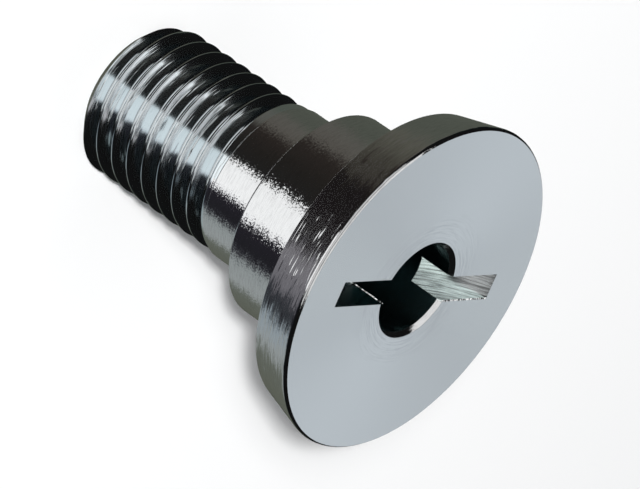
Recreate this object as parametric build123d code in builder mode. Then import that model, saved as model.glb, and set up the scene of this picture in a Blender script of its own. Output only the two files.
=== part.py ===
# Shoulder bolt: a slotted and drilled round head on a two-step shank with a coarse thread.
# The bolt stands on its threaded tip. The origin is the centre of the tip's flat end, +Z runs
# along the axis towards the head, and the slot lies along X. All sizes are in millimetres.
from build123d import *
import math
import os

# Head, whose side narrows towards the shank
head_dia = 33.0
head_back_dia = 30.5
head_thickness = 5.0
head_rim_bevel = 0.25

# Blind hole in the middle of the face, with a drill point at its end
hole_dia = 9.0
hole_depth = 13.0
hole_mouth_bevel = 0.4
drill_point_angle = 118.0

# Slot across the hole, cut by a disc that is sunk into the face
slot_width = 2.5
slot_length = 23.2
slot_depth = 4.15

# Plain shoulders, the large one next to the head
large_shoulder_dia = 21.0
large_shoulder_length = 8.7
small_shoulder_dia = 16.0
small_shoulder_length = 5.8
shoulder_edge_bevel = 0.3

# Right-hand thread of metric form
thread_dia = 15.68
thread_pitch = 2.0
thread_length = 17.2
tip_bevel = 1.2
flank_angle = 30.0
thread_start_angle = 210.0

# Places along the axis
small_shoulder_z = thread_length
large_shoulder_z = small_shoulder_z + small_shoulder_length
head_back_z = large_shoulder_z + large_shoulder_length
face_z = head_back_z + head_thickness

# Shapes that follow from the sizes above
drill_point_height = hole_dia / 2 / math.tan(math.radians(drill_point_angle / 2))
slot_cutter_radius = (slot_length ** 2 / 4 + slot_depth ** 2) / (2 * slot_depth)

# Form of the thread groove: straight flanks between a flat crest and a flat root
flank_slope = math.tan(math.radians(flank_angle))
sharp_height = thread_pitch / (2 * flank_slope)
crest_cut = sharp_height / 8
root_cut = sharp_height / 6
groove_overcut = 0.1
groove_mouth_x = thread_dia / 2 + groove_overcut
groove_vertex_x = thread_dia / 2 + crest_cut - sharp_height
groove_root_x = groove_vertex_x + root_cut

# Path of the thread groove: in from below the tip, and out along a tangent by the shoulder
groove_start_z = -thread_pitch
groove_end_z = small_shoulder_z - thread_pitch / 2
groove_rise = groove_end_z - groove_start_z
groove_end_angle = 360 * groove_rise / thread_pitch
run_out_length = math.sqrt(groove_mouth_x ** 2 - groove_root_x ** 2)


def groove_section(plane):
    """Draw the thread groove's section: x is the distance from the axis, y runs along it."""
    root_half = root_cut * flank_slope
    mouth_half = (groove_mouth_x - groove_vertex_x) * flank_slope
    with BuildSketch(plane) as section:
        with BuildLine():
            Polyline(
                (groove_root_x, -root_half),
                (groove_root_x, root_half),
                (groove_mouth_x, mouth_half),
                (groove_mouth_x, -mouth_half),
                close=True,
            )
        make_face()
    return section.sketch


def axial_plane(angle, z):
    """Give the plane through the axis at an angle, with x away from the axis and y along it."""
    turn = math.radians(angle)
    outwards = (math.cos(turn), math.sin(turn), 0)
    backwards = (math.sin(turn), -math.cos(turn), 0)
    return Plane(origin=(0, 0, z), x_dir=outwards, z_dir=backwards)


with BuildPart() as thread_groove:
    with BuildLine(Plane.XY.offset(groove_start_z)) as groove_path:
        Helix(thread_pitch, groove_rise, thread_dia / 2)
    sweep(groove_section(axial_plane(0, groove_start_z)), path=groove_path.line, is_frenet=True)
    extrude(groove_section(axial_plane(groove_end_angle, groove_end_z)), amount=-run_out_length)

with BuildPart() as shoulder_bolt:
    # The turned head and shoulders: half of their section, from the axis outwards
    with BuildSketch(Plane.XZ):
        with BuildLine():
            Polyline(
                (0, small_shoulder_z),
                (small_shoulder_dia / 2 - shoulder_edge_bevel, small_shoulder_z),
                (small_shoulder_dia / 2, small_shoulder_z + shoulder_edge_bevel),
                (small_shoulder_dia / 2, large_shoulder_z),
                (large_shoulder_dia / 2 - shoulder_edge_bevel, large_shoulder_z),
                (large_shoulder_dia / 2, large_shoulder_z + shoulder_edge_bevel),
                (large_shoulder_dia / 2, head_back_z),
                (head_back_dia / 2, head_back_z),
                (head_dia / 2, face_z - head_rim_bevel),
                (head_dia / 2 - head_rim_bevel, face_z),
                (0, face_z),
                close=True,
            )
        make_face()
    revolve(axis=Axis.Z)

    # The thread's blank, which ends inside the small shoulder's bevel, and the groove in it
    with BuildSketch():
        Circle(thread_dia / 2)
    extrude(amount=small_shoulder_z + shoulder_edge_bevel)
    add(thread_groove.part, rotation=(0, 0, thread_start_angle), mode=Mode.SUBTRACT)

    # The tip's bevel, turned after the thread
    with BuildSketch(Plane.XZ):
        with BuildLine():
            Polyline(
                (thread_dia / 2 - tip_bevel, 0),
                (thread_dia / 2 + groove_overcut, 0),
                (thread_dia / 2 + groove_overcut, tip_bevel + groove_overcut),
                close=True,
            )
        make_face()
    revolve(axis=Axis.Z, mode=Mode.SUBTRACT)

    # The drilled hole, with its bevelled mouth
    with BuildSketch(Plane.XZ):
        with BuildLine():
            Polyline(
                (0, face_z),
                (hole_dia / 2 + hole_mouth_bevel, face_z),
                (hole_dia / 2, face_z - hole_mouth_bevel),
                (hole_dia / 2, face_z - hole_depth),
                (0, face_z - hole_depth - drill_point_height),
                close=True,
            )
        make_face()
    revolve(axis=Axis.Z, mode=Mode.SUBTRACT)

    # The slot: a disc cutter sunk into the face, its axle along Y
    with BuildSketch(Plane.XZ):
        with Locations((0, face_z - slot_depth + slot_cutter_radius)):
            Circle(slot_cutter_radius)
    extrude(amount=slot_width / 2, both=True, mode=Mode.SUBTRACT)

os.makedirs("parts", exist_ok=True)
shoulder_bolt.part.label = "shoulder_bolt"
export_step(shoulder_bolt.part, "parts/shoulder_bolt.step")
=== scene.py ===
"""Shoulder bolt of plated steel, standing on its threaded tip on a pale floor.

The frame gives the bolt's outer size. Here the same bolt is turned, threaded, slotted and
drilled again with a finer surface, and gets its plated finish, the studio and the camera.
The bolt's sizes are in millimetres, and its finished mesh is scaled to metres.
"""

import logging
import math
from dataclasses import dataclass, field
from enum import Enum

import bmesh
import bpy
from mathutils import Matrix, Vector
from mathutils.geometry import intersect_point_line


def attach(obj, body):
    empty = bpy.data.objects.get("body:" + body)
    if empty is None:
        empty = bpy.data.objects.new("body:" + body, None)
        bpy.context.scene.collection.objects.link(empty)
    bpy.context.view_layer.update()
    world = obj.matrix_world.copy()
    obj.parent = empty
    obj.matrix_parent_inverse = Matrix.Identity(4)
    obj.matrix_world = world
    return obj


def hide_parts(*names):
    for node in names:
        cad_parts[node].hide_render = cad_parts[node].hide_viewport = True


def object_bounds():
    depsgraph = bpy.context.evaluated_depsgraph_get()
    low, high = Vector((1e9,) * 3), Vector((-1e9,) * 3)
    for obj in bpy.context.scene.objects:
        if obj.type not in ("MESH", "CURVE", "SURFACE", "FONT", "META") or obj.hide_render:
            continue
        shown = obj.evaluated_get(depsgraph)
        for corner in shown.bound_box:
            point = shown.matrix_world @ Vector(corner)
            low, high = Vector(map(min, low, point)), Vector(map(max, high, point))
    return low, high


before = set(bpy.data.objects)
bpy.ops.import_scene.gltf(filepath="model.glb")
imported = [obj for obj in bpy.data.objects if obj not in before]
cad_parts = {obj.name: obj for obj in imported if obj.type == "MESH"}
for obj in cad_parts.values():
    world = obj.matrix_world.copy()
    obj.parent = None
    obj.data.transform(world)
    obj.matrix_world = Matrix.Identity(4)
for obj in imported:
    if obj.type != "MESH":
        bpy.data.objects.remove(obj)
cad_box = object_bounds()

# A millimetre in metres, how close points are merged, and how far a cutter reaches past the metal
MM = 0.001
WELD = 1e-4
OVERCUT = 0.1

# The axes that count in a point's distance from the Z and from the Y axis
ROUND_Z = (1.0, 1.0, 0.0)
ROUND_Y = (1.0, 0.0, 1.0)

log = logging.getLogger("shoulder_bolt")


class Surface(Enum):
    """Material slots of the bolt, one for each way its surface was cut. The hole's slot carries
    painted shade and the burrs' slot a painted highlight.
    """

    SHOULDER = 0
    HEAD_SIDE = 1
    FACE = 2
    THREAD = 3
    SLOT = 4
    # dark teal: painted shade and a painted teal reflection inside the hole
    HOLE = 5
    # white non-metal on the burrs: a painted highlight
    BURR = 6


class Carving(Enum):
    """What a tool does to the piece that it is set to."""

    CUT = "DIFFERENCE"
    JOIN = "UNION"


def mesh_object(name: str, bm: bmesh.types.BMesh) -> bpy.types.Object:
    """Turn a bmesh into an object of the scene and free the bmesh.

    Args:
        name: Name of the object and of its mesh.
        bm: The finished shape.

    Returns:
        The new object, at the origin.
    """
    mesh = bpy.data.meshes.new(name)
    bm.to_mesh(mesh)
    bm.free()
    piece = bpy.data.objects.new(name, mesh)
    bpy.context.scene.collection.objects.link(piece)
    return piece


def wire(
    bm: bmesh.types.BMesh, points: list[tuple[float, float]], closed: bool = False
) -> list[bmesh.types.BMVert]:
    """Draw an outline in the XZ plane.

    Args:
        bm: The bmesh that takes the outline.
        points: Distance from the axis and height of each corner.
        closed: Whether the last corner is joined to the first.

    Returns:
        The outline's vertices.
    """
    corners = [bm.verts.new((radius, 0.0, height)) for radius, height in points]
    ends = corners[1:] + corners[:1] if closed else corners[1:]
    for start, end in zip(corners, ends):
        bm.edges.new((start, end))
    return corners


def turn(bm: bmesh.types.BMesh, steps: int) -> None:
    """Spin all of a bmesh's outline once round the Z axis into a closed surface.

    Args:
        bm: The bmesh that holds the outline and takes the surface.
        steps: Number of facets round the axis.
    """
    bmesh.ops.spin(
        bm, geom=bm.verts[:] + bm.edges[:], cent=(0, 0, 0), axis=(0, 0, 1),
        angle=math.tau, steps=steps, use_merge=True,
    )
    bmesh.ops.remove_doubles(bm, verts=bm.verts[:], dist=WELD)
    bmesh.ops.recalc_face_normals(bm, faces=bm.faces[:])


def carve(piece: bpy.types.Object, tool: bpy.types.Object, carving: Carving) -> None:
    """Join a tool to a piece, or cut it out of the piece, and remove the tool.

    Args:
        piece: The object that is changed.
        tool: The closed object that acts on it.
        carving: Whether the tool is cut out or joined on.
    """
    change = piece.modifiers.new("carve", "BOOLEAN")
    change.operation = carving.value
    change.solver = "EXACT"
    change.object = tool
    settle(piece)
    bpy.data.objects.remove(tool)


def settle(piece: bpy.types.Object) -> None:
    """Make the result of a piece's modifiers its own mesh.

    Args:
        piece: The object whose modifiers are applied.
    """
    graph = bpy.context.evaluated_depsgraph_get()
    result = bpy.data.meshes.new_from_object(piece.evaluated_get(graph))
    piece.modifiers.clear()
    old = piece.data
    piece.data = result
    bpy.data.meshes.remove(old)


@dataclass
class Thread:
    """Right-hand metric thread with a rounded root, from the tip up to the small shoulder.

    The crest's share is of the pitch for its flat and of the sharp height for its cut, and the
    root radius's share is of the pitch. The seat is how far the thread reaches into the shoulder.
    """

    dia: float = 15.68
    pitch: float = 2.0
    length: float = 17.2
    tip_bevel: float = 1.2
    flank_angle: float = 30.0
    start_angle: float = 210.0
    crest_share: float = 1 / 8
    root_radius_share: float = 0.1443
    root_segments: int = 6
    crest_rounding: float = 0.12
    crest_segments: int = 4
    seat: float = 0.3
    turn_steps: int = 144

    @property
    def crest_radius(self) -> float:
        """Radius of the thread's crest."""
        return self.dia / 2

    def section(self, bm: bmesh.types.BMesh) -> list:
        """Draw one pitch of the thread from crest to crest, with its root in the middle.

        Args:
            bm: The bmesh that takes the outline.

        Returns:
            The outline's vertices and edges.
        """
        slope = math.tan(math.radians(self.flank_angle))
        sharp_height = self.pitch / (2 * slope)
        land = self.pitch * self.crest_share / 2
        half = self.pitch / 2
        corners = wire(bm, [
            (self.crest_radius, -half),
            (self.crest_radius, land - half),
            (self.crest_radius + self.crest_share * sharp_height - sharp_height, 0.0),
            (self.crest_radius, half - land),
            (self.crest_radius, half),
        ])
        bmesh.ops.bevel(
            bm, geom=[corners[2]], offset=self.pitch * self.root_radius_share / slope,
            offset_type="OFFSET", segments=self.root_segments, profile=0.5,
            affect="VERTICES", material=-1,
        )
        bmesh.ops.bevel(
            bm, geom=[corners[1], corners[3]], offset=self.crest_rounding,
            offset_type="OFFSET", segments=self.crest_segments, profile=0.5,
            affect="VERTICES", material=-1,
        )
        return bm.verts[:] + bm.edges[:]

    def build(self) -> bpy.types.Object:
        """Wind the section up the helix and close it into a solid.

        Returns:
            The thread as a closed object, with its blunt tip at height 0.
        """
        bm = bmesh.new()
        along = bm.verts.layers.float.new("along")
        outline = self.section(bm)
        for vertex in bm.verts:
            vertex[along] = vertex.co.z
        first_groove = -self.pitch
        turns = (self.length - self.pitch / 2 - first_groove) / self.pitch
        bmesh.ops.translate(bm, verts=bm.verts[:], vec=(0.0, 0.0, first_groove))
        bmesh.ops.rotate(
            bm, verts=bm.verts[:], cent=(0, 0, 0),
            matrix=Matrix.Rotation(math.radians(self.start_angle), 3, "Z"),
        )
        bmesh.ops.spin(
            bm, geom=outline, cent=(0, 0, 0), axis=(0, 0, 1),
            dvec=(0, 0, self.pitch / self.turn_steps),
            angle=math.tau, steps=self.turn_steps, use_merge=False,
        )
        one_turn = bm.verts[:] + bm.edges[:] + bm.faces[:]
        for repeat in range(1, math.ceil(turns) + 2):
            copy = bmesh.ops.duplicate(bm, geom=one_turn)["geom"]
            moved = [part for part in copy if isinstance(part, bmesh.types.BMVert)]
            bmesh.ops.translate(bm, verts=moved, vec=(0.0, 0.0, repeat * self.pitch))
        self.run_out(bm, along, first_groove, turns)
        bmesh.ops.remove_doubles(bm, verts=bm.verts[:], dist=WELD)
        self.cut_to_length(bm)
        return mesh_object("thread", bm)

    def run_out(
        self, bm: bmesh.types.BMesh, along: bmesh.types.BMLayerItem, first_groove: float,
        turns: float,
    ) -> None:
        """Let the groove leave the bolt along a tangent at its last turn.

        Args:
            bm: The wound thread.
            along: Layer with each vertex's place along its own section.
            first_groove: Height at which the groove's middle starts.
            turns: Number of turns up to the run-out.
        """
        for vertex in bm.verts:
            turned = (vertex.co.z - vertex[along] - first_groove) / self.pitch
            past = math.tau * (turned - turns)
            if past <= 0:
                continue
            radius = vertex.co.xy.length
            deep = radius / math.cos(past) if past < math.pi / 2 else self.crest_radius
            vertex.co.xy *= min(deep, self.crest_radius) / radius

    def cut_to_length(self, bm: bmesh.types.BMesh) -> None:
        """Cut the wound thread off at the tip and inside the shoulder, and close both ends.

        Args:
            bm: The wound thread.
        """
        for height, normal in ((0.0, (0, 0, -1)), (self.length + self.seat, (0, 0, 1))):
            parts = bm.verts[:] + bm.edges[:] + bm.faces[:]
            bmesh.ops.bisect_plane(
                bm, geom=parts, dist=WELD, plane_co=(0, 0, height), plane_no=normal,
                clear_outer=True,
            )
            rim = [e for e in bm.edges if e.is_boundary and abs(e.verts[0].co.z - height) < WELD]
            bmesh.ops.contextual_create(bm, geom=rim)
        bmesh.ops.recalc_face_normals(bm, faces=bm.faces[:])

    def tip_cutter(self, steps: int) -> bpy.types.Object:
        """Turn the ring that cuts the bevel at the tip.

        Args:
            steps: Number of facets round the axis.

        Returns:
            The ring as a closed object.
        """
        bm = bmesh.new()
        outer = self.crest_radius + OVERCUT
        wire(bm, [
            (self.crest_radius - self.tip_bevel - OVERCUT, -OVERCUT),
            (outer, -OVERCUT),
            (outer, self.tip_bevel + OVERCUT),
        ], closed=True)
        turn(bm, steps)
        return mesh_object("tip_cutter", bm)


@dataclass
class TurnedBody:
    """Head and plain shoulders with the blind hole, turned from one outline.

    The rim and the neck, where the large shoulder meets the head, are rounded more widely
    than the other edges.
    """

    head_dia: float
    face_z: float
    head_back_dia: float = 30.5
    head_thickness: float = 5.0
    rim_bevel: float = 0.25
    hole_dia: float = 9.0
    hole_depth: float = 13.0
    mouth_bevel: float = 0.4
    drill_point_angle: float = 118.0
    large_dia: float = 21.0
    large_length: float = 8.7
    small_dia: float = 16.0
    small_length: float = 5.8
    edge_bevel: float = 0.3
    edge_rounding: float = 0.05
    edge_segments: int = 2
    rim_rounding: float = 0.22
    neck_rounding: float = 0.14
    wide_segments: int = 5
    sharp_angle: float = 15.0

    @property
    def head_back_z(self) -> float:
        """Height of the head's underside."""
        return self.face_z - self.head_thickness

    @property
    def large_z(self) -> float:
        """Height at which the large shoulder starts."""
        return self.head_back_z - self.large_length

    @property
    def small_z(self) -> float:
        """Height at which the small shoulder starts."""
        return self.large_z - self.small_length

    def build(self, steps: int) -> bpy.types.Object:
        """Turn the outline and round its sharp rings.

        Args:
            steps: Number of facets round the axis.

        Returns:
            The body as a closed object.
        """
        small = self.small_dia / 2
        large = self.large_dia / 2
        hole = self.hole_dia / 2
        hole_end = self.face_z - self.hole_depth
        point = hole / math.tan(math.radians(self.drill_point_angle / 2))
        bm = bmesh.new()
        wire(bm, [
            (0.0, self.small_z),
            (small - self.edge_bevel, self.small_z),
            (small, self.small_z + self.edge_bevel),
            (small, self.large_z),
            (large - self.edge_bevel, self.large_z),
            (large, self.large_z + self.edge_bevel),
            (large, self.head_back_z),
            (self.head_back_dia / 2, self.head_back_z),
            (self.head_dia / 2, self.face_z - self.rim_bevel),
            (self.head_dia / 2 - self.rim_bevel, self.face_z),
            (hole + self.mouth_bevel, self.face_z),
            (hole, self.face_z - self.mouth_bevel),
            (hole, hole_end),
            (0.0, hole_end - point),
        ])
        turn(bm, steps)
        for radius, height, rounding in (
            (self.head_dia / 2, self.face_z - self.rim_bevel, self.rim_rounding),
            (large, self.head_back_z, self.neck_rounding),
        ):
            self.round_rings(bm, self.rings_at(bm, radius, height), rounding, self.wide_segments)
        others = [
            edge for edge in bm.edges
            if len(edge.link_faces) == 2
            and edge.calc_face_angle() > math.radians(self.sharp_angle)
            and edge.verts[0].co.z > self.small_z + WELD
        ]
        self.round_rings(bm, others, self.edge_rounding, self.edge_segments)
        return mesh_object("turned_body", bm)

    def round_rings(
        self, bm: bmesh.types.BMesh, rings: list[bmesh.types.BMEdge], rounding: float,
        segments: int,
    ) -> None:
        """Round some of the turned rings.

        Args:
            bm: The turned body.
            rings: The edges of the rings.
            rounding: How far the rounding reaches from the edge.
            segments: Number of facets across it.
        """
        bmesh.ops.bevel(
            bm, geom=rings, offset=rounding, offset_type="OFFSET", segments=segments,
            profile=0.5, affect="EDGES", material=-1, clamp_overlap=True,
        )

    def rings_at(
        self, bm: bmesh.types.BMesh, radius: float, height: float
    ) -> list[bmesh.types.BMEdge]:
        """Find the edges of one turned ring.

        Args:
            bm: The turned body.
            radius: The ring's distance from the axis.
            height: The ring's height.

        Returns:
            The ring's edges.
        """
        return [
            edge for edge in bm.edges
            if all(
                abs(vertex.co.z - height) < WELD and abs(vertex.co.xy.length - radius) < WELD
                for vertex in edge.verts
            )
        ]


@dataclass(frozen=True)
class Burr:
    """A ragged edge of the slot, as a bar along it that stands out or breaks the edge.

    A face lies on a side of the bar where two parts of its normal are greater than the slant.
    """

    start: Vector
    end: Vector
    reach: float
    carving: Carving
    sides: int = 4
    slant: float = 0.5

    def bar(self) -> bpy.types.Object:
        """Make the bar, its corners pointing across the edge.

        Returns:
            The bar as a closed object.
        """
        bm = bmesh.new()
        run = self.end - self.start
        bmesh.ops.create_cone(
            bm, cap_ends=True, segments=self.sides, radius1=self.reach, radius2=self.reach,
            depth=run.length,
        )
        turned = run.to_track_quat("Z", "Y").to_matrix()
        bmesh.ops.rotate(bm, verts=bm.verts[:], cent=(0, 0, 0), matrix=turned)
        bmesh.ops.translate(bm, verts=bm.verts[:], vec=(self.start + self.end) / 2)
        return mesh_object("burr", bm)

    def holds(self, face: bmesh.types.BMFace) -> bool:
        """Tell whether a face lies on the burr, slanting between the surfaces beside it.

        Args:
            face: A face of the mesh, in millimetres.

        Returns:
            True on the burr.
        """
        middle = face.calc_center_median()
        nearest, share = intersect_point_line(middle, self.start, self.end)
        slanting = sum(abs(part) > self.slant for part in face.normal) == 2
        return slanting and (middle - nearest).length < self.reach and 0.0 < share < 1.0


@dataclass
class Slot:
    """Driver slot along X, cut by a disc that is sunk into the face.

    The slack is how far a point may lie outside the cut and still count as its surface. The
    corner's burr ends a little below the face.
    """

    face_z: float
    width: float = 2.5
    length: float = 23.2
    depth: float = 4.15
    disc_steps: int = 256
    slack: float = 0.1
    edge_burr: float = 0.1
    corner_burr: float = 0.055
    corner_burr_drop: float = 0.1

    @property
    def disc_radius(self) -> float:
        """Radius of the cutting disc, from the slot's length and depth."""
        return (self.length ** 2 / 4 + self.depth ** 2) / (2 * self.depth)

    @property
    def disc_z(self) -> float:
        """Height of the cutting disc's axle."""
        return self.face_z - self.depth + self.disc_radius

    def cutter(self) -> bpy.types.Object:
        """Make the disc, with its axle along Y.

        Returns:
            The disc as a closed object.
        """
        bm = bmesh.new()
        bmesh.ops.create_cone(
            bm, cap_ends=True, segments=self.disc_steps, radius1=self.disc_radius,
            radius2=self.disc_radius, depth=self.width,
        )
        bmesh.ops.rotate(
            bm, verts=bm.verts[:], cent=(0, 0, 0), matrix=Matrix.Rotation(math.pi / 2, 3, "X")
        )
        bmesh.ops.translate(bm, verts=bm.verts[:], vec=(0.0, 0.0, self.disc_z))
        return mesh_object("slot_cutter", bm)

    def holds(self, place: Vector) -> bool:
        """Tell whether a point lies on the slot's floor or walls.

        Args:
            place: The point.

        Returns:
            True on the floor or on a wall.
        """
        reach = math.hypot(place.x, place.z - self.disc_z)
        beside = abs(place.y) < self.width / 2 + self.slack
        return beside and reach < self.disc_radius + self.slack and place.z < self.face_z - WELD

    def burrs(self, hole_radius: float) -> tuple[Burr, ...]:
        """Find the edges that kept their burr, both on the slot's negative Y side.

        Args:
            hole_radius: Radius of the hole that the slot crosses.

        Returns:
            The edge on the face and the upright corner by the hole.
        """
        side = -self.width / 2
        corner = -math.sqrt(hole_radius ** 2 - side ** 2)
        floor_z = self.face_z - self.depth
        on_face = Burr(
            Vector((hole_radius, side, self.face_z)),
            Vector((self.length / 2, side, self.face_z)),
            self.edge_burr,
            Carving.CUT,
        )
        by_hole = Burr(
            Vector((corner, side, floor_z)),
            Vector((corner, side, self.face_z - self.corner_burr_drop)),
            self.corner_burr,
            Carving.JOIN,
        )
        return (on_face, by_hole)


@dataclass
class Bolt:
    """The whole bolt as one closed piece, with its outer size from the frame's box.

    Low and high are the box's corners, in metres. Edges sharper than the sharp angle stay
    sharp in the shading, where large faces outweigh small ones by the flat weight, and areas
    closer than the like area count alike. A face whose normal rises above the level is flat.
    """

    low: Vector
    high: Vector
    steps: int = 192
    sharp_angle: float = 28.0
    flat_weight: int = 100
    like_area: float = 0.01
    level: float = 0.9

    def __post_init__(self) -> None:
        """Lay out the turned body, the slot with its burrs, and the thread."""
        self.body = TurnedBody(
            head_dia=(self.high.x - self.low.x) / MM, face_z=self.high.z / MM
        )
        self.slot = Slot(face_z=self.body.face_z)
        self.burrs = self.slot.burrs(self.body.hole_dia / 2)
        self.thread = Thread(length=self.body.small_z)

    def build(self, materials: list[bpy.types.Material]) -> bpy.types.Object:
        """Turn, thread and slot the bolt, and dress it.

        Args:
            materials: The material of each surface, in the order of Surface.

        Returns:
            The finished object, in metres.
        """
        piece = self.body.build(self.steps)
        piece.name = "bolt"
        carve(piece, self.thread.build(), Carving.JOIN)
        carve(piece, self.thread.tip_cutter(self.steps), Carving.CUT)
        carve(piece, self.slot.cutter(), Carving.CUT)
        for burr in self.burrs:
            carve(piece, burr.bar(), burr.carving)
        piece.data.materials.clear()
        for material in materials:
            piece.data.materials.append(material)
        self.sort_faces(piece.data)
        flats = piece.modifiers.new("flats_stay_flat", "WEIGHTED_NORMAL")
        flats.mode = "FACE_AREA"
        flats.weight = self.flat_weight
        flats.thresh = self.like_area
        flats.keep_sharp = True
        settle(piece)
        piece.data.transform(Matrix.Scale(MM, 4))
        return piece

    def sort_faces(self, mesh: bpy.types.Mesh) -> None:
        """Give each face its material slot and smooth the mesh between its sharp edges.

        Args:
            mesh: The carved mesh, in millimetres.
        """
        bm = bmesh.new()
        bm.from_mesh(mesh)
        bmesh.ops.remove_doubles(bm, verts=bm.verts[:], dist=WELD)
        for face in bm.faces:
            surface = self.surface_at(face)
            face.material_index = surface.value
            face.smooth = surface is not Surface.FACE
        bm.to_mesh(mesh)
        bm.free()
        mesh.set_sharp_from_angle(angle=math.radians(self.sharp_angle))

    def surface_at(self, face: bmesh.types.BMFace) -> Surface:
        """Find how the surface under a face was cut.

        Args:
            face: A face of the mesh, in millimetres.

        Returns:
            The surface's kind.
        """
        place = face.calc_center_median()
        radius = place.xy.length
        # Faces on a burr take the white finish of the painted highlight
        if any(burr.holds(face) for burr in self.burrs):
            return Surface.BURR
        if self.slot.holds(place):
            return Surface.SLOT
        if place.z > self.body.face_z - self.body.rim_bevel / 2 and face.normal.z > self.level:
            return Surface.FACE
        # Below the mouth the hole's wall takes the dark teal finish of painted shade; the mouth's
        # bevel keeps the plain plate
        if radius < self.body.hole_dia / 2 + self.body.mouth_bevel and place.z > self.thread.length:
            in_mouth = place.z > self.body.face_z - self.body.mouth_bevel
            return Surface.SHOULDER if in_mouth else Surface.HOLE
        if place.z < self.body.small_z:
            return Surface.THREAD
        if place.z < self.body.head_back_z:
            return Surface.SHOULDER
        return Surface.HEAD_SIDE


class Nodes:
    """Short calls that add and join shader nodes."""

    def __init__(self, tree: bpy.types.NodeTree) -> None:
        """Work in one node tree."""
        self.tree = tree

    def add(self, kind: str, settings: dict | None = None, **inputs: object) -> bpy.types.Node:
        """Add a node and fill in its inputs.

        Args:
            kind: The node's type name without the leading ShaderNode.
            settings: Properties of the node.
            **inputs: A value or an output socket for each input, by its name with _ for a space.

        Returns:
            The new node.
        """
        node = self.tree.nodes.new("ShaderNode" + kind)
        for name, value in (settings or {}).items():
            setattr(node, name, value)
        for name, value in inputs.items():
            self.fill(node.inputs[name.replace("_", " ")], value)
        return node

    def fill(self, socket: bpy.types.NodeSocket, value: object) -> None:
        """Set a socket to a value or link an output to it.

        Args:
            socket: The input.
            value: A plain value or an output socket.
        """
        if isinstance(value, bpy.types.NodeSocket):
            self.tree.links.new(value, socket)
        else:
            socket.default_value = value

    def math(self, operation: str, *values: object) -> bpy.types.NodeSocket:
        """Calculate with numbers.

        Args:
            operation: The Math node's operation.
            *values: Numbers or outputs.

        Returns:
            The result.
        """
        node = self.tree.nodes.new("ShaderNodeMath")
        node.operation = operation
        for socket, value in zip(node.inputs, values):
            self.fill(socket, value)
        return node.outputs[0]

    def vector(self, operation: str, *values: object) -> bpy.types.NodeSocket:
        """Calculate with vectors.

        Args:
            operation: The Vector Math node's operation.
            *values: Vectors or outputs, and for SCALE a vector and a number.

        Returns:
            The result.
        """
        node = self.tree.nodes.new("ShaderNodeVectorMath")
        node.operation = operation
        sockets = [node.inputs[0], node.inputs["Scale"]] if operation == "SCALE" else node.inputs
        for socket, value in zip(sockets, values):
            self.fill(socket, value)
        result = "Value" if operation == "LENGTH" else "Vector"
        return node.outputs[result]

    def reach(self, place: object, axes: tuple[float, float, float]) -> bpy.types.NodeSocket:
        """Measure a point's distance from the origin along the axes that are 1 in axes."""
        return self.vector("LENGTH", self.vector("MULTIPLY", place, axes))

    def noise(
        self, place: object, rate: float, detail: float, roughness: float = 0.7
    ) -> bpy.types.NodeSocket:
        """Make noise of a rate and number of finer layers, mostly between -0.25 and 0.25."""
        node = self.add("TexNoise", Vector=place, Scale=rate, Detail=detail, Roughness=roughness)
        return self.math("SUBTRACT", node.outputs["Fac"], 0.5)

    def shade(self, tint: tuple, dark: object) -> bpy.types.NodeSocket:
        """Darken a colour.

        Args:
            tint: The colour.
            dark: How far it goes towards black, from 0 to 1.

        Returns:
            The shaded colour.
        """
        node = self.add("Mix", {"data_type": "RGBA"})
        sockets = {socket.identifier: socket for socket in [*node.inputs, *node.outputs]}
        self.fill(sockets["Factor_Float"], dark)
        self.fill(sockets["A_Color"], (*tint, 1.0))
        self.fill(sockets["B_Color"], (0.0, 0.0, 0.0, 1.0))
        return sockets["Result_Color"]


class Lay(Enum):
    """How the fine marks of a cut run."""

    TURNED = "rings round the bolt's axis"
    HELIX = "lines that follow the thread"
    DISC = "arcs of a disc with its axle along Y"


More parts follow.
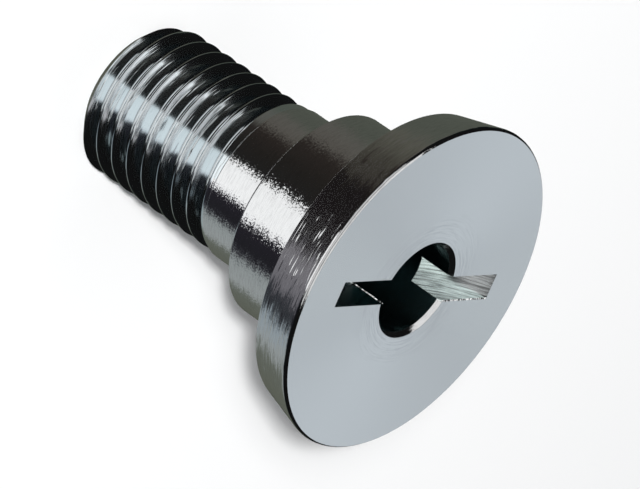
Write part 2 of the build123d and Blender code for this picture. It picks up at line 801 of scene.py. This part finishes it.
@dataclass(frozen=True)
class PlatedFinish:
    """Bright blue-white plate over a cut surface, with the cut's fine marks.

    Rates are in marks per millimetre, and tilts are slopes of the surface: along and across
    the marks, and of the grain. Grooves tilt it across the marks, and streaks darken it. The
    edge tilt is taken off the grooves' tilt, and streaks are widened by their bias. Marks deepen
    between the two radii of marks_from, where it is given. A lean is how much the height
    counts beside the radius, so that marks also run round shoulders and flanks.
    """

    name: str
    tint: tuple[float, float, float] = (0.74, 0.745, 0.75)
    roughness: float = 0.12
    anisotropy: float = 0.8
    lay: Lay = Lay.TURNED
    across_rate: float = 4.0
    along_rate: float = 0.35
    grain_rate: float = 7.0
    tilt_along: float = 0.12
    tilt_across: float = 0.5
    tilt_grain: float = 0.4
    streak_rate: float = 2.5
    streak_depth: float = 0.15
    streak_bias: float = 0.05
    streak_gain: float = 4.0
    groove_rate: float = 1.3
    groove_power: float = 2.0
    groove_shift: tuple[float, float, float] = (31.0, 17.0, 53.0)
    turned_lean: float = 0.83
    helix_lean: float = -1.0
    marks_from: tuple[float, float] | None = None
    edge_tilt: float = 0.0
    disc_z: float = 0.0
    metallic: float = 1.0

    def material(self) -> bpy.types.Material:
        """Make the finish as a node material.

        Returns:
            The material.
        """
        material = bpy.data.materials.new(self.name)
        material.use_nodes = True
        tree = material.node_tree
        tree.nodes.clear()
        nodes = Nodes(tree)
        place = nodes.vector("SCALE", nodes.add("TexCoord").outputs["Object"], 1 / MM)
        spots, along = self.lay_out(nodes, place)
        normal = nodes.add("NewGeometry").outputs["Normal"]
        across = nodes.vector("NORMALIZE", nodes.vector("CROSS_PRODUCT", normal, along))
        wander = nodes.noise(spots, rate=1.0, detail=4.0)
        elsewhere = nodes.vector("ADD", spots, self.groove_shift)
        grooves = nodes.math("MAXIMUM", nodes.noise(elsewhere, self.groove_rate, detail=1.0), 0.0)
        grooves = nodes.math("POWER", grooves, self.groove_power)
        grain = nodes.noise(place, self.grain_rate, detail=2.0)
        deep = nodes.math("MULTIPLY", grooves, self.tilt_across)
        streaks = nodes.noise(spots, self.streak_rate, detail=3.0)
        streaks = nodes.math("MAXIMUM", nodes.math("ADD", streaks, self.streak_bias), 0.0)
        worn = nodes.math("MULTIPLY", streaks, self.streak_gain * self.streak_depth)
        if self.marks_from:
            share = self.rise(nodes, place)
            deep = nodes.math("MULTIPLY", nodes.math("SUBTRACT", deep, self.edge_tilt), share)
            worn = nodes.math("MULTIPLY", worn, share)
        bent = normal
        for direction, tilt in (
            (along, nodes.math("MULTIPLY", wander, self.tilt_along)),
            (along, nodes.math("MULTIPLY", grain, self.tilt_grain)),
            (across, deep),
        ):
            bent = nodes.vector("ADD", bent, nodes.vector("SCALE", direction, tilt))
        shader = nodes.add(
            "BsdfPrincipled", Base_Color=nodes.shade(self.tint, worn), Metallic=self.metallic,
            Roughness=self.roughness, Anisotropic=self.anisotropy,
            Normal=nodes.vector("NORMALIZE", bent), Tangent=across,
        )
        nodes.add("OutputMaterial", Surface=shader.outputs["BSDF"])
        return material

    def rise(self, nodes: Nodes, place: bpy.types.NodeSocket) -> bpy.types.NodeSocket:
        """Let the marks grow from nothing to full between the radii of marks_from.

        Args:
            nodes: The material's nodes.
            place: The point, in millimetres.

        Returns:
            A factor from 0 to 1.
        """
        start, full = self.marks_from
        radius = nodes.reach(place, ROUND_Z)
        ramp = nodes.add("MapRange", Value=radius, From_Min=start, From_Max=full)
        return ramp.outputs["Result"]

    def lay_out(self, nodes: Nodes, place: bpy.types.NodeSocket) -> tuple:
        """Work out how the marks run at each point.

        Args:
            nodes: The material's nodes.
            place: The point, in millimetres.

        Returns:
            Noise coordinates that are long along the marks and short across them, and the
            direction along the marks.
        """
        parts = nodes.add("SeparateXYZ", Vector=place)
        x, y, z = (parts.outputs[axis] for axis in "XYZ")
        slow = [nodes.math("MULTIPLY", part, self.along_rate) for part in (x, y, z)]
        if self.lay is Lay.DISC:
            arm = nodes.vector("SUBTRACT", place, (0.0, 0.0, self.disc_z))
            reach = nodes.reach(arm, ROUND_Y)
            sockets = (
                slow[0],
                nodes.math("MULTIPLY", y, self.across_rate),
                nodes.math("MULTIPLY", reach, self.across_rate),
            )
            along = nodes.vector("CROSS_PRODUCT", (0.0, 1.0, 0.0), arm)
        else:
            lean = self.helix_lean if self.lay is Lay.HELIX else self.turned_lean
            radius = nodes.reach(place, ROUND_Z)
            depth = nodes.math("ADD", radius, nodes.math("MULTIPLY", z, lean))
            if self.lay is Lay.HELIX:
                slow[0] = nodes.math("ADD", slow[0], slow[2])
                slow[1] = nodes.math("SUBTRACT", slow[1], slow[2])
            sockets = (slow[0], slow[1], nodes.math("MULTIPLY", depth, self.across_rate))
            along = nodes.vector("CROSS_PRODUCT", (0.0, 0.0, 1.0), place)
        spots = nodes.add("CombineXYZ", X=sockets[0], Y=sockets[1], Z=sockets[2]).outputs["Vector"]
        return spots, nodes.vector("NORMALIZE", along)


@dataclass(frozen=True)
class StudioView:
    """The photograph's camera: where it looks from and how it is turned."""

    target: tuple[float, float, float] = (-0.0022, -0.0009, 0.0267)
    distance: float = 0.4145
    azimuth: float = 158.58
    elevation: float = 30.76
    roll: float = 125.07
    lens: float = 259.0
    sensor_width: float = 36.0
    nearest: float = 0.01

    def build(self) -> bpy.types.Object:
        """Place the camera and make it the scene's own.

        Returns:
            The camera.
        """
        camera = bpy.data.cameras.new("camera")
        camera.lens = self.lens
        camera.sensor_width = self.sensor_width
        camera.clip_start = self.nearest
        holder = bpy.data.objects.new("camera", camera)
        bpy.context.scene.collection.objects.link(holder)
        towards = studio_direction(self.azimuth, self.elevation)
        level = towards.to_track_quat("Z", "Y")
        turned = level.to_matrix().to_4x4() @ Matrix.Rotation(math.radians(self.roll), 4, "Z")
        place = Vector(self.target) + towards * self.distance
        holder.matrix_world = Matrix.Translation(place) @ turned
        bpy.context.scene.camera = holder
        return holder


def studio_direction(azimuth: float, elevation: float) -> Vector:
    """Give the direction at an azimuth and an elevation.

    Args:
        azimuth: Angle round the Z axis from +X, in degrees.
        elevation: Angle above the horizon, in degrees.

    Returns:
        The direction, of length 1.
    """
    around = math.radians(azimuth)
    up = math.radians(elevation)
    return Vector((math.cos(around) * math.cos(up), math.sin(around) * math.cos(up), math.sin(up)))


@dataclass(frozen=True)
class Softbox:
    """A rectangular lamp. Its level is its brightness in a mirror, 1 for white.

    A hanging softbox faces straight down, with its width along the camera's side. Others
    face their aim, the middle of the bolt. Sizes and the distance are in metres.
    """

    name: str
    azimuth: float
    elevation: float
    distance: float
    width: float
    height: float
    level: float
    tint: tuple[float, float, float] = (1.0, 1.0, 1.0)
    hangs: bool = False
    shows_in_metal: bool = True
    on_floor: bool = True
    aim: tuple[float, float, float] = (0.0, 0.0, 0.02)

    def build(self, side: float) -> bpy.types.Object:
        """Set up the lamp.

        Args:
            side: Azimuth of the camera's side.

        Returns:
            The lamp's object.
        """
        lamp = bpy.data.lights.new(self.name, "AREA")
        lamp.shape = "RECTANGLE"
        lamp.size = self.width
        lamp.size_y = self.height
        lamp.energy = self.level * math.pi * self.width * self.height
        lamp.color = self.tint
        holder = bpy.data.objects.new(self.name, lamp)
        bpy.context.scene.collection.objects.link(holder)
        holder.visible_glossy = self.shows_in_metal
        holder.visible_diffuse = self.on_floor
        away = studio_direction(side + self.azimuth, self.elevation)
        turned = away.to_track_quat("Z", "Y").to_matrix().to_4x4()
        if self.hangs:
            turned = Matrix.Rotation(math.radians(side), 4, "Z")
        place = Vector(self.aim) + away * self.distance
        holder.matrix_world = Matrix.Translation(place) @ turned
        return holder


@dataclass(frozen=True)
class Stop:
    """A colour of the surroundings at an angle round the bolt from the camera's side."""

    angle: float
    tint: tuple[float, float, float]


@dataclass(frozen=True)
class Surroundings:
    """A ring below the floor that shows only in the bolt, as the dark and light room round it.

    Steep and shallow are the angles below the horizon at which the bolt sees its edges.
    """

    name: str
    steep: float
    shallow: float
    stops: tuple[Stop, ...]
    drop: float = 0.4
    steps: int = 96

    def build(self, side: float) -> bpy.types.Object:
        """Lay the ring out.

        Args:
            side: Azimuth of the camera's side.

        Returns:
            The ring's object.
        """
        bm = bmesh.new()
        edges = [self.drop / math.tan(math.radians(angle)) for angle in (self.steep, self.shallow)]
        wire(bm, [(edge, -self.drop) for edge in edges])
        bmesh.ops.spin(
            bm, geom=bm.verts[:] + bm.edges[:], cent=(0, 0, 0), axis=(0, 0, 1),
            angle=math.tau, steps=self.steps, use_merge=True,
        )
        ring = mesh_object(self.name, bm)
        ring.data.materials.append(self.material(side))
        ring.visible_camera = False
        ring.visible_diffuse = False
        ring.visible_shadow = False
        ring.visible_transmission = False
        return ring

    def material(self, side: float) -> bpy.types.Material:
        """Make the ring glow in its colours, each fading into the next.

        Args:
            side: Azimuth of the camera's side.

        Returns:
            The material.
        """
        material = bpy.data.materials.new(self.name)
        material.use_nodes = True
        material.node_tree.nodes.clear()
        nodes = Nodes(material.node_tree)
        place = nodes.add("TexCoord").outputs["Object"]
        turned = nodes.add("Mapping", Vector=place, Rotation=(0.0, 0.0, -math.radians(side)))
        angle = nodes.add(
            "TexGradient", {"gradient_type": "RADIAL"}, Vector=turned.outputs["Vector"]
        )
        ramp = nodes.add("ValToRGB", Fac=angle.outputs["Fac"])
        elements = ramp.color_ramp.elements
        while len(elements) < len(self.stops):
            elements.new(0.5)
        while len(elements) > len(self.stops):
            elements.remove(elements[-1])
        # All places come first, because a new place puts the elements in another order
        for element, stop in zip(elements, self.stops):
            element.position = 0.5 + stop.angle / 360
        for element, stop in zip(elements, self.stops):
            element.color = (*stop.tint, 1.0)
        glow = nodes.add("Emission", Color=ramp.outputs["Color"], Strength=1.0)
        nodes.add("OutputMaterial", Surface=glow.outputs["Emission"])
        return material


# Colours that return in the rings of the room
DARK = (0.012, 0.010, 0.010)
WHITE = (1.250, 1.250, 1.250)
FAR_DARK = (0.006, 0.008, 0.009)
FAR_WHITE = (1.100, 1.080, 1.080)


@dataclass
class Studio:
    """Floor, lamps, surroundings and camera."""

    view: StudioView = field(default_factory=StudioView)
    floor_size: float = 6.0
    floor_tint: tuple[float, float, float] = (0.95, 0.95, 0.95)
    floor_roughness: float = 0.9
    world_level: float = 0.007

    def build(self) -> None:
        """Set up the whole studio."""
        self.view.build()
        self.floor()
        self.world()
        side = self.view.azimuth
        lamps = self.lamps()
        for lamp in lamps:
            lamp.build(side)
        rings = self.surroundings()
        for ring in rings:
            ring.build(side)
        bpy.context.scene.view_settings.view_transform = "Standard"
        log.info("the studio has %d lamps and %d rings round it", len(lamps), len(rings))

    def lamps(self) -> tuple[Softbox, ...]:
        """Describe the lamps.

        Returns:
            The lamps, each by its azimuth from the camera's side, its elevation, distance,
            width, height and level.
        """
        return (
            Softbox("key", -2.75, 31.2, 1.6, 0.05, 0.05, 3650.0, shows_in_metal=False),
            Softbox("key_fill", -3.6, 31.3, 1.6, 0.16, 0.16, 172.0, shows_in_metal=False),
            Softbox("ceiling", 0.0, 80.0, 0.8, 0.8, 0.8, 0.8, shows_in_metal=False),
            Softbox("overhead", -62.9, 57.2, 0.714, 0.43, 0.69, 0.95, hangs=True, on_floor=False),
            Softbox("overhead_end", 32.2, 58.2, 0.706, 0.21, 0.40, 0.95, hangs=True, on_floor=False),
            Softbox(
                "over_hole", 165.0, 63.0, 0.68, 0.29, 0.20, 0.95, (0.92, 1.0, 0.97),
                hangs=True, on_floor=False,
            ),
            Softbox(
                "over_slot", 90.0, 71.5, 0.64, 0.21, 0.16, 0.60, (1.0, 0.95, 0.97),
                hangs=True, on_floor=False,
            ),
            Softbox("over_wall", -122.0, 62.0, 0.68, 0.28, 0.20, 0.95, hangs=True, on_floor=False),
            Softbox("front", -3.0, 22.0, 0.8, 1.9, 0.6, 0.7, on_floor=False),
            Softbox("back", 180.0, 31.0, 0.8, 0.7, 0.5, 0.72, (0.86, 0.93, 1.0)),
        )

    def surroundings(self) -> tuple[Surroundings, ...]:
        """Describe the room as the bolt sees it below the horizon.

        Returns:
            The rings for the far, middle and near parts of the room.
        """
        near_stops = (
            Stop(-48.0, (0.040, 0.036, 0.030)),
            Stop(-44.0, DARK),
            Stop(10.0, (0.012, 0.010, 0.011)),
            Stop(24.0, (0.040, 0.038, 0.042)),
            Stop(34.0, (0.220, 0.212, 0.230)),
            Stop(62.0, (0.200, 0.195, 0.215)),
        )
        return (
            Surroundings("far_room", 20.0, 4.0, (
                Stop(-3.0, FAR_DARK),
                Stop(-1.0, FAR_WHITE),
                Stop(36.0, FAR_WHITE),
                Stop(40.0, FAR_DARK),
            )),
            Surroundings("middle_room", 45.0, 20.0, (
                Stop(-180.0, (0.090, 0.100, 0.082)),
                Stop(-110.0, (0.095, 0.104, 0.086)),
                Stop(-92.0, (0.122, 0.118, 0.104)),
                Stop(-72.0, (0.115, 0.107, 0.094)),
                Stop(-58.0, (0.030, 0.024, 0.021)),
                Stop(-30.0, (0.019, 0.017, 0.015)),
                Stop(-3.0, (0.017, 0.017, 0.017)),
                Stop(-1.0, (1.14, 1.15, 1.15)),
                Stop(36.0, (1.20, 1.21, 1.21)),
                Stop(40.0, (1.05, 1.05, 1.08)),
                Stop(42.0, (0.022, 0.020, 0.027)),
                Stop(70.0, (0.018, 0.018, 0.022)),
                Stop(76.0, (0.050, 0.050, 0.060)),
                Stop(86.0, (0.340, 0.375, 0.375)),
                Stop(112.0, (0.370, 0.400, 0.400)),
                Stop(124.0, (0.150, 0.165, 0.140)),
                Stop(150.0, (0.130, 0.140, 0.115)),
                Stop(180.0, (0.090, 0.100, 0.082)),
            )),
            Surroundings("near_room", 62.0, 45.0, (
                Stop(-180.0, (0.110, 0.112, 0.088)),
                Stop(-100.0, (0.112, 0.112, 0.090)),
                Stop(-70.0, (0.060, 0.056, 0.046)),
                *near_stops,
                Stop(70.0, (0.040, 0.042, 0.050)),
                Stop(84.0, (0.036, 0.040, 0.046)),
                Stop(94.0, (0.340, 0.400, 0.440)),
                Stop(125.0, (0.360, 0.415, 0.445)),
                Stop(150.0, (0.220, 0.240, 0.225)),
                Stop(180.0, (0.110, 0.112, 0.088)),
            )),
            Surroundings("steep_room", 70.0, 62.0, (
                Stop(-110.0, DARK),
                Stop(-104.0, WHITE),
                Stop(-75.0, WHITE),
                Stop(-66.0, (0.060, 0.056, 0.046)),
                *near_stops,
                Stop(70.0, (0.030, 0.032, 0.038)),
                Stop(90.0, DARK),
            )),
            Surroundings("room_under_bolt", 89.9, 70.0, (
                Stop(-112.0, DARK),
                Stop(-106.0, WHITE),
                Stop(0.0, WHITE),
                Stop(66.0, (1.150, 1.200, 1.250)),
                Stop(72.0, DARK),
            )),
        )

    def floor(self) -> None:
        """Lay the pale floor under the tip. The bolt shows the room in its place."""
        bm = bmesh.new()
        bmesh.ops.create_grid(bm, x_segments=1, y_segments=1, size=self.floor_size / 2)
        floor = mesh_object("floor", bm)
        material = bpy.data.materials.new("floor")
        material.use_nodes = True
        shader = material.node_tree.nodes["Principled BSDF"]
        shader.inputs["Base Color"].default_value = (*self.floor_tint, 1.0)
        shader.inputs["Roughness"].default_value = self.floor_roughness
        shader.inputs["Specular IOR Level"].default_value = 0.0
        floor.data.materials.append(material)
        floor.visible_glossy = False

    def world(self) -> None:
        """Keep the room above the horizon dim."""
        world = bpy.data.worlds.new("room")
        world.use_nodes = True
        sky = world.node_tree.nodes["Background"]
        sky.inputs["Color"].default_value = (1.0, 1.0, 1.0, 1.0)
        sky.inputs["Strength"].default_value = self.world_level
        bpy.context.scene.world = world


def surface_finishes(disc_z: float) -> dict[Surface, PlatedFinish]:
    """Describe the plate on each kind of surface.

    Args:
        disc_z: Height of the slot's cutting disc, in millimetres.

    Returns:
        The finish of each surface.
    """
    return {
        Surface.SHOULDER: PlatedFinish("turned_shoulder"),
        Surface.HEAD_SIDE: PlatedFinish(
            "turned_head_side", tilt_along=0.35, tilt_across=4.0, tilt_grain=0.12
        ),
        Surface.FACE: PlatedFinish(
            "turned_face", tint=(0.75, 0.765, 0.765), roughness=0.25, along_rate=0.2,
            tilt_along=0.01, tilt_across=0.3, tilt_grain=0.0, streak_rate=1.6,
            streak_depth=0.17, marks_from=(8.6, 5.6),
        ),
        Surface.THREAD: PlatedFinish(
            "thread_flank", tint=(0.72, 0.775, 0.80), lay=Lay.HELIX, roughness=0.13,
            anisotropy=0.4, across_rate=5.0, along_rate=0.15, tilt_along=0.04,
            tilt_across=-8.0, tilt_grain=0.0, streak_depth=0.05, marks_from=(6.7, 7.3),
            edge_tilt=0.05,
        ),
        Surface.SLOT: PlatedFinish(
            "milled_slot", tint=(0.84, 0.92, 0.91), roughness=0.2, lay=Lay.DISC,
            disc_z=disc_z, across_rate=2.2, along_rate=0.12, tilt_along=0.1,
            tilt_across=3.0, tilt_grain=0.05, streak_rate=1.6, streak_depth=0.9,
        ),
        # The hole's dark teal tint is painted shade in the hole and a painted teal reflection, not a
        # colour of the plate
        Surface.HOLE: PlatedFinish("drilled_hole_painted_shade", tint=(0.14, 0.24, 0.25), roughness=0.25),
        # The burrs get a white, non-metallic finish that the lamps light brightly: a painted
        # highlight along the burrs, broken into dashes by the dark streaks
        Surface.BURR: PlatedFinish(
            "burred_edge_painted_glint", tint=(0.9, 0.92, 0.92), roughness=0.5, along_rate=3.0,
            streak_rate=1.2, streak_depth=4.0, metallic=0.0,
        ),
    }


def main() -> None:
    """Build the bolt and its studio."""
    logging.basicConfig(level=logging.INFO, format="%(name)s: %(message)s")
    bolt = Bolt(*cad_box)
    finishes = surface_finishes(bolt.slot.disc_z)
    piece = bolt.build([finishes[surface].material() for surface in Surface])
    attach(piece, "root")
    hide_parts("shoulder_bolt")
    log.info("%s has %d faces", piece.name, len(piece.data.polygons))
    Studio().build()


if __name__ == "__main__":
    main()
